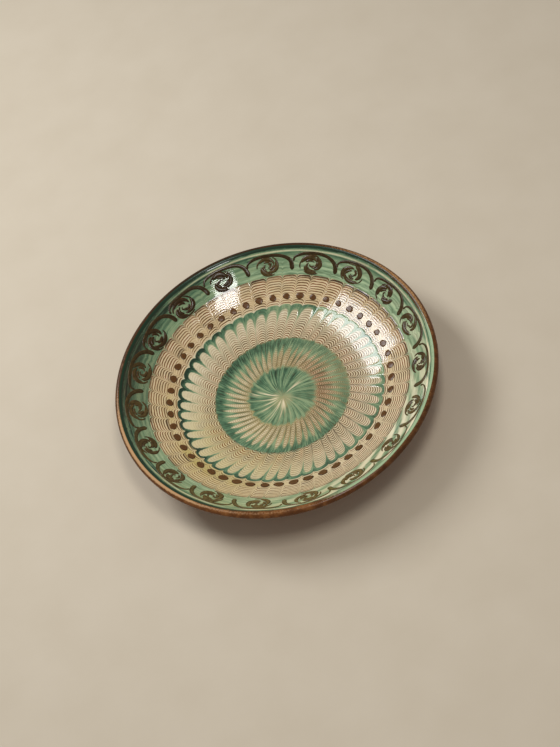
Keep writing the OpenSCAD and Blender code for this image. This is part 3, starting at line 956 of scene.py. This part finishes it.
class DISH_OT_petals(bpy.types.Operator):
    """Make the ring of feathered petals with their green tips"""

    bl_idname = "dish.petals"
    bl_label = "Petals"

    def execute(self, context):
        """A coat whose green tip line was dragged inwards along 49 grooves.

        The line's outer and inner borders are circles that fall inwards by an exponential of the distance
        from the groove, so that the tips turn into round arches whose sides run down between the petals.
        """
        size, tints = sizes(), colours()
        radius = edged(GREEN_R, PETAL_R)
        angle, deg, r, left, right, side = grid_of(radius)
        thick = copper_band(deg)
        crisp = near(deg, 165, 62)
        t = 1 - 2 * side / (left + right)
        outer = tip_edge(t, deg)
        fall = size["tip_drag"] * sum(
            pull * (0.6 * np.exp(-off / 0.6) + 0.4 * np.exp(-off / 1.5))
            for pull, off in zip(SPOKE_SET.pulls(), (left, right))
        )
        blob = np.random.default_rng(31).uniform(-1, 1, (3, SPOKES))[:, SPOKE_SET.number][:, None]
        skew = (left - right) / (left + right)
        deep_end = 2.2 + 1.6 * thick
        deep_end = deep_end + patches(deg, (2.6, 72, 38), (1.6, 285, 50), (1.6, 118, 34), (-0.9, 192, 36))
        inner = outer - deep_end * (1 + 0.2 * blob[0] + 0.25 * blob[1] * skew) - 1.5 * t**2 - fall
        feathered = r + SPOKE_SET.drag(radius, size["petal_drag"], 2.0)
        wave = np.cos(TURN * feathered / size["petal_pitch"])
        soft = 1.3 + 2.4 * near(deg, 75, 45) - 0.5 * crisp
        fade = ease(r, PETAL_R - 24, PETAL_R - 5)
        green = gate(r, inner - soft, inner + soft, outer - 0.6, outer + 0.5)
        green = green * (0.42 + 0.1 * crisp + (0.58 - 0.1 * crisp) * fade)
        ring = ring_cover(r, angle)
        rippled = 1 - ease(r, PETAL_R - 18, PETAL_R - 7) * (0.2 + 0.6 * crisp)
        tip = 0.15 * gate(r, inner - 1.2, inner + 1.2, outer - 1, outer) * fade
        rise = (size["ripple"] * 0.5 * (1 + wave) * rippled + tip) * gate(
            r, GREEN_R, GREEN_R + 1, PETAL_R - 1, PETAL_R)
        browner = 1 - ease(r, GREEN_R + 4, GREEN_R + 24)
        combed = 0.65 + 0.6 * browner + 0.55 * near(deg, 325, 80) - 0.35 * crisp * (1 - browner)
        deep_tip = 0.12 + 0.75 * crisp + patches(deg, (0.1, 95, 30), (0.2, 290, 45)) + 0.2 * blob[2]
        deep_ring = 0.05 + 0.4 * thick + 0.2 * near(deg, 265, 55)
        short_of_tip = 1 - ease(r, PETAL_R - 9, PETAL_R - 3)
        seam = 0.5 * browner + 0.3 * near(deg, 0, 60) + 0.45 * near(deg, 300, 42) * short_of_tip
        coat_piece(
            "petals", radius, rise, feathered,
            marbled_slip("Cream and green slip, feathered, clear glazed", tints["petal"], tints,
                         size["petal_pitch"], (shade(tints["petal"], 0.15), tints["pale"], 0.35), 0.6),
            ["petal_ground", "petal_trails"], "cream",
            green=np.maximum(green, ring),
            deep=deep_tip * fade * green * (0.6 + 0.4 * ease(r, outer - 6, outer - 1)) + deep_ring * ring,
            amber=0.7 * amber_patch(deg) + 0.22 * browner,
            rust=(0.2 + 0.35 * near(deg, 20, 30)) * browner,
            comb=rippled * SPOKE_SET.each(7, 0.75, 1.15) * combed * ease(side, 0.1, 0.8) * (1 - 0.85 * green),
            pale=0.3 * (1 - rippled) * ease(side, 0.6, 2.5) * crisp,
            ink=near(side, 0, 0.45) * seam * (1 - 0.6 * ring),
        )
        return {"FINISHED"}


class DISH_OT_centre(bpy.types.Operator):
    """Make the middle: the green ring, the cream wedges and the rayed green disc"""

    bl_idname = "dish.centre"
    bl_label = "Middle"

    def execute(self, context):
        """A closed coat whose ring and disc of green were dragged inwards, with pale rays.

        The ring's inner border falls by a power of the way to the groove and an exponential of the distance
        from it, which leaves flame-shaped wedges of cream. The rays are random strengths from column to
        column, smoothed.
        """
        size, tints = sizes(), colours()
        radius = np.concatenate(
            [np.geomspace(0.7, 12, 16), np.linspace(12, GREEN_R, 92)[1:-1], [GREEN_R - EDGE, GREEN_R]])
        angle, deg, r, left, right, side = grid_of(radius)
        pull = np.where(left < right, *SPOKE_SET.pulls())
        thick = copper_band(deg)
        crisp = 0.2 + 0.8 * near(deg, 200, 62)
        across = 2 * side / (left + right)
        flame = 0.75 * (1 - across) ** (1 + 1.2 * near(deg, 265, 60)) + 0.35 * np.exp(-side / 0.5)
        fall = size["ring_drag"] * pull * flame * SPOKE_SET.each(37, 0.65, 1.3)
        fall = fall * (1 - 0.25 * near(deg, 72, 38))
        ring_in = INNER_R + 0.5 + 5 * crisp + 3.5 * near(deg, 255, 52) - 2 * (thick - 0.5) - fall
        ring = ease(r, ring_in - 8 + 6 * crisp, ring_in + 8 - 6 * crisp)
        short, mid, long = rays(19, angle.shape[1], (13, 25, 43))
        disc_edge = CENTRE_R - 0.5 + 0.6 * mid + 0.8 * short
        disc = 1 - ease(r, disc_edge - 5 + 2.5 * crisp, disc_edge + 5 - 2.5 * crisp)
        feathered = r + SPOKE_SET.drag(radius, size["petal_drag"] * 0.8, 1.4)
        wave = np.cos(TURN * feathered / size["centre_pitch"])
        inside = gate(r, 4, 16, GREEN_R - 1, GREEN_R)
        wedge = (1 - ring) * (1 - disc)
        rise = (
            size["ripple"] * 0.4 * (1 + wave) * inside * (0.35 + 0.65 * wedge)
            + 0.015 * short * gate(r, 4, 12, 26, 40) + 0.15 * bump(r, 9)
        )
        bright = 0.2 + patches(
            deg, (-0.15, 65, 45), (0.35, 205, 60),
            (0.8, 151, 8), (0.7, 184, 17), (0.5, 236, 9), (0.8, 263, 8), (0.8, 27, 7))
        streaked = ease(0.75 * mid + 0.55 * short + 1.7 * bright, 1.0, 2.3)
        streaked = streaked * gate(r, 1.5, 9, 18 + 6 * long, 36 + 6 * long)
        heart = 1 - ease(r + 1.5 * short + patches(deg, (-8, 245, 95), (3, 45, 40)), 3, 12)
        reddish = near(deg, 0, 46) * gate(r, 32, 40, 48, 64)
        seam = near(side, 0, 0.55) * gate(r, 34, 42, 50, 60)
        thin = 0.38 * near(deg, 0, 40) + 0.4 * near(deg, 248, 32) * (1 - ease(r, 58, 70))
        disc_green = disc * (0.84 + 0.16 * near(deg, 110, 80))
        green = np.maximum(ring * ring_cover(r, angle) * (1 - thin), disc_green)
        ring_deep = 0.12 + (0.4 * thick + patches(deg, (-0.05, 205, 45), (0.1, 275, 45))) * ease(r, 58, 69)
        disc_deep = (
            0.14 + 0.15 * near(deg, 70, 45) + 0.25 * ease(r, 24, 37) * near(deg, 160, 90)
            - 0.13 * short * ease(r, 6, 14)
        )
        wedge_pale = 0.65 * wedge * crisp * ease(across, 0.2, 0.9) * ease(r, 36, 46)
        coat_piece(
            "middle", radius, rise, feathered,
            marbled_slip("Green and cream slip, feathered to the middle, clear glazed", tints["middle"],
                         tints, size["centre_pitch"], (shade(tints["middle"], 0.2), tints["pale"], 0.4), 1.0),
            ["green_ring", "inner_ground", "centre_disc"], "cream", poles=True, grooved=ease(r, 14, 30),
            green=green * (1 - 0.75 * streaked * bright.clip(0, 1)) * (1 - 0.38 * heart),
            deep=ring * ring_deep + disc * disc_deep,
            amber=0.15 * wedge + 0.35 * heart + 0.3 * amber_patch(deg),
            rust=1.1 * reddish + 0.1 * wedge,
            comb=(0.4 + 0.6 * near(deg, 330, 90)) * wedge * ease(side, 0.1, 0.7)
            + 0.25 * ring * inside * near(deg, 10, 90),
            pale=np.clip(wedge_pale + disc * (streaked * (0.25 + 0.5 * bright) + 0.15 * heart), 0, 1),
            ink=0.3 * reddish * ease(short, 0.2, 1.5) + 0.6 * seam * (1 - disc),
        )
        return {"FINISHED"}


def strokes(name, bearing, fade, base_r, u, v, width, height, material, node, ring=12):
    """Trailed strokes: a domed section carried along paths on the wall, closed at both ends.

    u runs round the dish and v up the wall, in mm, from a point at base_r and at each stroke's bearing.
    The section is an ellipse's upper half over a flat that is sunk into the coat. All are strokes x
    stations, and bearing and fade, how washed out it is, are one number a stroke.
    """
    du, dv = np.gradient(u, axis=1), np.gradient(v, axis=1)
    size = np.hypot(du, dv) + 1e-9
    turn = np.linspace(0, TURN, ring, endpoint=False)[None, None]
    across = -np.cos(turn) + 0 * u[..., None]
    up = np.where(np.sin(turn) > 0, np.abs(np.sin(turn)) ** 0.8, 0.0) - SUNK * (np.sin(turn) <= 1e-9)
    at_u = u[..., None] + (dv / size)[..., None] * across * width[..., None] / 2
    at_v = v[..., None] - (du / size)[..., None] * across * width[..., None] / 2
    radius = base_r + at_v * slope_cos(base_r)
    angle = bearing[:, None, None] + at_u / radius
    r, z = lay(radius, COAT_T + np.where(up > 0, up * height[..., None], up))
    count, stations = u.shape
    run = np.cumsum(size, axis=1)[..., None] + STROKE_RUN * np.arange(count)[:, None, None]
    trail = np.stack(np.broadcast_arrays(run, np.append(across[0, 0], across[0, 0, 0])[None, None]), -1)
    maps = {"OFBake": cell_uv(count, stations, ring, 8), "trail": trail}
    faded = fade[:, None, None] + 1.1 * near(np.degrees(angle), 265, 75)
    shell(name, around(r, z, angle), maps, {"faded": faded}, material, [node], poles=True)


def taper(x, share):
    """Rounds a stroke's ends: the square root of a parabola over its first and last share of length."""
    first, last = (np.sqrt(np.clip(1 - (1 - np.clip(way / share, 0, 1)) ** 2, 0.02, 1)) for way in (x, 1 - x))
    return first * last


ARCHES = 19
ARCH_START = math.radians(10)
# How deep a stroke's flat underside is sunk into the coat, in mm
SUNK = 0.2
# How far apart the strokes' and dots' own stretches of the trail marks' noise lie
STROKE_RUN, DOT_RUN = 40.0, 9.0
# Radii, at the coat's foot, between which the arches and the swirls lie
ARCH_LOW, ARCH_HIGH = reach_of("trailed_arches")
SWIRL_LOW, SWIRL_HIGH = reach_of("rosettes")


class DISH_OT_arches(bpy.types.Operator):
    """Make the nineteen hooked arches trailed round the rim"""

    bl_idname = "dish.arches"
    bl_label = "Trailed Arches"

    def execute(self, context):
        """Each arch starts at its neighbour's tail, rises over the rim and drops into a thick tail.

        Either half is a full kind of ellipse: its way out is a sine and its height a cosine, each to a
        power below one. The first half stands on a foot. The width grows on the way up and again on the way
        down; on one side of the dish the arches are thin up to their tails and lie further out.
        """
        tints = colours()
        rng = np.random.default_rng(23)
        pitch = TURN / ARCHES
        number = np.arange(ARCHES)
        bearing = ARCH_START + number * pitch + rng.uniform(-0.01, 0.01, ARCHES)
        deg = np.degrees(bearing)[:, None]
        span = np.roll(bearing, -1) - bearing
        span[-1] += TURN
        x = np.linspace(0, 1, 90)[None]
        s = np.abs(2 * x - 1)
        low, high = ARCH_LOW + 0.6, ARCH_HIGH - 1.5
        tall = (high - low) / slope_cos(low)
        foot = np.where(x < 0.5, rng.uniform(0.42, 0.58, ARCHES)[:, None], 0.0)
        out = np.sin(math.pi / 2 * s) ** 0.83
        up = np.cos(math.pi / 2 * np.clip(s, 0, 1)).clip(0) ** 0.77
        v = tall * (foot + (1 - foot) * up) * rng.uniform(0.95, 1.0, ARCHES)[:, None]
        u = span[:, None] / 2 * (1 - np.sign(2 * x - 1) * out) * (low + v * slope_cos(low))
        u = u - 1.4 * (1 - x) ** 8
        v = v + 0.3 * np.sin(4 * x * math.pi + number[:, None]) * (s < 0.8) + 3.4 * near(deg, 296, 42)
        u = u + rng.uniform(-1, 1, ARCHES)[:, None] * 1.3 * ease(x, 0.8, 1.0)
        swing = 0.92 + 0.2 * rng.uniform(0, 1, (ARCHES, 1)) * np.sin(math.pi * x) ** 2
        first, more = 2.3, 1.3
        tail = sizes()["arch_width"] - first - more
        width = first + more * ease(x, 0.05, 0.3) * swing + tail * ease(x, 0.62, 0.95)
        thin = 0.45 * near(deg, 285, 50) * gate(x, 0.02, 0.1, 0.55, 0.8)
        slip = trailed_slip("Trailed manganese slip", tints["dark"], tints["dark_edge"], tints["olive"])
        strokes("arches", bearing, np.full(ARCHES, 0.15), low, u, v, width * taper(x, 0.03) * (1 - thin),
                0.65 * (0.7 + 0.3 * x) * taper(x, 0.04), slip, "trailed_arches")
        return {"FINISHED"}


class DISH_OT_swirls(bpy.types.Operator):
    """Make the swirl of curved strokes under each arch"""

    bl_idname = "dish.swirls"
    bl_label = "Swirls"

    def execute(self, context):
        """Each swirl is three thick crescents round a hook, each with a thinner one inside and a flick.

        A crescent is an arc whose distance from the swirl's middle shrinks with the 1.3th power of the way
        along it, stretched along the rim. Its width is a sine of a power of the way, so that it swells early
        and ends in a point. At some bearings the swirls are a little larger, wider, paler or shifted.
        """
        tints = colours()
        rng = np.random.default_rng(29)
        middle = (SWIRL_LOW + SWIRL_HIGH) / 2
        reach = (SWIRL_HIGH - SWIRL_LOW) / slope_cos(middle) / 2 + 0.5
        x = np.linspace(0, 1, 30)[None]
        swell = (0.15 + 0.85 * np.sin(math.pi * x**0.75) ** 0.7) * taper(x, 0.06)
        # Of each kind of crescent: its wait and sweep in radians, its share of the reach, its drift and width
        kinds = ((0, 2.3, 0.9, 0.32, 5.4), (0.45, 1.9, 0.53, 0.22, 3.3), (-0.45, 1.3, 1.02, 0.08, 1.8))
        bearing, fade, u, v, width, height = [], [], [], [], [], []
        for i in range(ARCHES):
            at = ARCH_START + (i + 0.5) * TURN / ARCHES
            deg = math.degrees(at)
            at += math.radians(rng.uniform(-0.5, 0.5) + patches(deg, (3.2, 118, 32), (2.4, 12, 42)))
            pale = rng.uniform(0, 0.45) + 0.35 * near(deg, 66, 26)
            spin = rng.uniform(0, TURN)
            wide = rng.uniform(1.12, 1.28) + 0.2 * near(deg, 268, 16)
            grow = 1.05 + 0.09 * near(deg, 130, 55)
            strands = [
                (spin + k * TURN / 3 + wait + rng.uniform(-0.25, 0.25), sweep * rng.uniform(0.8, 1.15),
                 share + rng.uniform(-0.05, 0.03), drift, thick * rng.uniform(0.8, 1.2))
                for k in range(3) for wait, sweep, share, drift, thick in kinds
            ]
            strands.append((spin + 1.2, 3.4, 0.24, 0.13, 2.0))
            for start, sweep, share, drift, thick in strands:
                q = grow * reach * (share - drift * x**1.3)
                a = start + sweep * x
                bearing.append(at)
                fade.append(pale)
                u.append(wide * q * np.cos(a))
                v.append(q * np.sin(a) + 0.5 + 3.2 * near(deg, 300, 42))
                width.append(grow * thick * swell)
                height.append(0.55 * taper(x, 0.15))
        u, v, width, height = (np.concatenate(values) for values in (u, v, width, height))
        thin = shade(tints["dark_edge"], 0.3, tints["rust"])
        washed = shade(tints["olive"], 0.3, tints["dark_edge"])
        strokes("swirls", np.array(bearing), np.array(fade), middle, u, v, width, height,
                trailed_slip("Trailed brown slip", tints["dark"], thin, washed), "rosettes", ring=8)
        return {"FINISHED"}


class DISH_OT_dots(bpy.types.Operator):
    """Make the ring of trailed dots, one to a petal"""

    bl_idname = "dish.dots"
    bl_label = "Trailed Dots"

    def execute(self, context):
        """Each dot is a drop: a flat dome of rings whose outline is an oval with two or three soft waves."""
        size, tints = sizes(), colours()
        rng = np.random.default_rng(31)
        # Of each ring of the dome: its share of the dot's outline and its height in mm
        shares = np.array([0.12, 0.3, 0.5, 0.7, 0.85, 0.95, 1.0, 0.9, 0.4])[None, :, None]
        tops = np.array([0.5, 0.5, 0.48, 0.42, 0.3, 0.17, 0.0, -SUNK, -SUNK])[None, :, None]
        psi = np.linspace(0, TURN, 22, endpoint=False)[None, None]
        half = size["dot_size"] / 2

        def vary(low, high):
            """A random number for every dot."""
            return rng.uniform(low, high, (SPOKES, 1, 1))

        grow = vary(0.9, 1.05)
        blob = 1 + sum(high * np.cos(waves * psi + vary(0, TURN)) for waves, high in ((2, 0.07), (3, 0.04)))
        out = shares * grow * blob
        bearing = (np.arange(SPOKES) + 0.5)[:, None, None] * PITCH
        wide = 0.97 + 0.4 * near(np.degrees(bearing), 256, 65)
        u = half * out * wide * np.sin(psi) + vary(-0.5, 0.5)
        v = 0.92 * half * out * np.cos(psi) + vary(-0.35, 0.35)
        radius = DOT_R + v * slope_cos(DOT_R)
        angle = bearing + u / radius
        r, z = lay(radius, COAT_T + 0.12 + tops * vary(0.75, 1.0) + 0 * radius)
        rows, cols = u.shape[1:]
        along = np.linspace(0, 3, rows)[None, :, None] + DOT_RUN * np.arange(SPOKES)[:, None, None]
        trail = np.stack(np.broadcast_arrays(along, shares * np.ones((1, 1, cols + 1))), -1)
        brown = shade(tints["dark"], 0.9, tints["dark_edge"])
        shell("dots", around(r, z, angle), {"OFBake": cell_uv(SPOKES, rows, cols, 7), "trail": trail},
              {"faded": 0.2 * near(np.degrees(angle), 275, 50)},
              trailed_slip("Trailed brown dots", brown, tints["dark"], tints["olive"]),
              ["dots"], poles=True)
        return {"FINISHED"}


class DISH_OT_stage(bpy.types.Operator):
    """Make the floor, the lamps, the world and the camera"""

    bl_idname = "dish.stage"
    bl_label = "Stage"

    def execute(self, context):
        """The floor is a square grid; lamps and camera look back along a line at a point on the dish."""
        scene = context.scene
        tints = colours()
        cells = 8
        corner = np.linspace(-FLOOR_HALF, FLOOR_HALF, cells + 1)
        gx, gy = np.meshgrid(corner, corner, indexing="ij")
        verts = np.stack([gx, gy, np.zeros_like(gx)], -1).reshape(-1, 3)
        i, j = np.meshgrid(np.arange(cells), np.arange(cells), indexing="ij")
        first = i * (cells + 1) + j
        faces = np.stack([first, first + cells + 1, first + cells + 2, first + 1], -1).reshape(-1, 4)
        mesh = bpy.data.meshes.new("floor")
        mesh.from_pydata(verts.tolist(), [], faces.tolist())
        mesh.materials.append(painted_board("Matt painted board", tints["floor"]))
        floor = placed("floor", mesh)
        for label, glint, way, long, distance, width, power, colour in LAMPS:
            light = bpy.data.lights.new(label, "AREA")
            light.shape = "RECTANGLE"
            light.size, light.size_y = width
            light.energy, light.color = power, colour
            placed(label, light, facing(Vector(way).normalized(), Vector(long), Vector(glint), distance))
        world = bpy.data.worlds.new("Soft room light")
        scene.world = world
        world.use_nodes = True
        tree = world.node_tree
        tree.nodes.clear()
        seen = add(tree, "LightPath", {}, 0)
        fill = add(tree, "Background", {0: (1.0, 0.98, 0.95, 1.0), 1: FILL})
        shown = add(tree, "Background", {0: tints["floor"], 1: 0.95})
        add(tree, "OutputWorld", {0: add(tree, "MixShader", {0: seen, 1: fill, 2: shown})})
        back = Vector((0, -math.cos(VIEW_TILT), math.sin(VIEW_TILT)))
        right = Vector((1, 0, 0))
        upright = back.cross(right) * math.cos(VIEW_ROLL) - right * math.sin(VIEW_ROLL)
        lens = bpy.data.cameras.new("camera")
        lens.lens, lens.sensor_width, lens.sensor_fit = VIEW_LENS, 36.0, "AUTO"
        scene.camera = placed("camera", lens, facing(back, upright, VIEW_AIM, VIEW_DISTANCE))
        scene.view_settings.view_transform = "Standard"
        return {"FINISHED"}


def placed(name, data, matrix=None):
    """An object of the stage in the scene, moved to its place if one is given."""
    thing = bpy.data.objects.new(name, data)
    bpy.context.scene.collection.objects.link(thing)
    if matrix is not None:
        thing.matrix_world = matrix
    return thing


def facing(back, up, aim, distance):
    """Placement of a lamp or camera that looks at aim from a distance along back, the right way up."""
    across = up.cross(back).normalized()
    place = Matrix((across, back.cross(across), back)).transposed().to_4x4()
    place.translation = aim + back * distance
    return place


# Half the floor's side, in metres
FLOOR_HALF = 5.0
# Lamps: name, where on the dish it glints, the way from there to it, the way of its height, its distance,
# size, power and colour
LAMPS = [
    ("window", (0.1087, 0.0362, 0.0295), (-0.5, 0.41, 0.763), (0.07, -0.85, 0.53), 1.6, (0.48, 0.9), 18.0,
     (0.92, 0.96, 1.0)),
    ("small_window", (-0.0225, 0.1375, 0.041), (0.135, -0.325, 0.936), (0.15, 0.92, 0.36), 1.6, (0.26, 0.48),
     8.0, (1.0, 0.985, 0.96)),
]
# Strength of the room's own light
FILL = 0.368
# The camera's height angle and roll, lens in mm, distance in metres and the point that it looks at
VIEW_TILT = math.radians(53.7)
VIEW_ROLL = math.radians(-20.158)
VIEW_LENS = 79.8
VIEW_DISTANCE = 1.75
VIEW_AIM = Vector((0.0056, -0.0036, 0.0593))


class DISH_PT_panel(bpy.types.Panel):
    """The dish's sizes, colours and pieces"""

    bl_idname = "DISH_PT_panel"
    bl_label = "Slipware Dish"
    bl_space_type = "VIEW_3D"
    bl_region_type = "UI"
    bl_category = "Dish"

    def draw(self, context):
        """Shows the sizes, the colours and a button for each piece."""
        for group in (context.scene.dish_sizes, context.scene.dish_colours):
            box = self.layout.box()
            for key in type(group).__annotations__:
                box.prop(group, key)
        for piece in PIECES:
            self.layout.operator(piece.bl_idname)


PIECES = (
    DISH_OT_body, DISH_OT_foot, DISH_OT_lip, DISH_OT_rim, DISH_OT_comb, DISH_OT_petals, DISH_OT_centre,
    DISH_OT_arches, DISH_OT_swirls, DISH_OT_dots, DISH_OT_stage,
)
CLASSES = (DishSizes, DishColours, *PIECES, DISH_PT_panel)


def register():
    """Registers the classes and gives the scene its sizes and colours."""
    for cls in CLASSES:
        bpy.utils.register_class(cls)
    bpy.types.Scene.dish_sizes = bpy.props.PointerProperty(type=DishSizes)
    bpy.types.Scene.dish_colours = bpy.props.PointerProperty(type=DishColours)


def unregister():
    """Takes them away again."""
    del bpy.types.Scene.dish_colours
    del bpy.types.Scene.dish_sizes
    for cls in reversed(CLASSES):
        bpy.utils.unregister_class(cls)


def main():
    """Registers the classes and makes every piece and the stage."""
    register()
    for piece in PIECES:
        group, name = piece.bl_idname.split(".")
        getattr(getattr(bpy.ops, group), name)()


if __name__ == "__main__":
    main()
